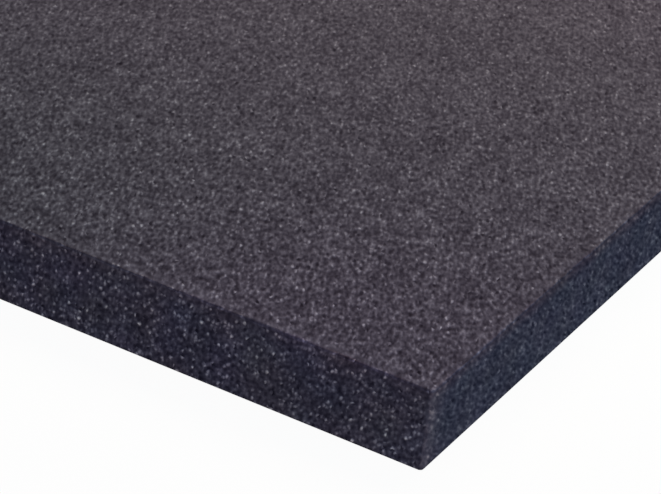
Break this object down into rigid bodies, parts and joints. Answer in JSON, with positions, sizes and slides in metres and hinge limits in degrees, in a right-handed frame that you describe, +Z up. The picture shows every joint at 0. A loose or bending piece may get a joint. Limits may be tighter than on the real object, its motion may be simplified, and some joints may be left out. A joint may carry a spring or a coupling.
{
  "type": "polyethylene foam sheet",
  "caption": "Flat rectangular slab of dark closed-cell polyethylene foam with square-cut sides, for padding, case inserts and bench mats.",
  "frame": {"origin": "middle of the underside", "axes": "+Z up through the thickness, +Y along the long side, +X along the short side"},
  "size_m": [0.3, 0.4, 0.03],
  "materials": {
    "foam": "matte, open cut cells"
  },
  "bodies": {
    "root": {"foam_sheet": "foam"}
  },
  "joints": []
}
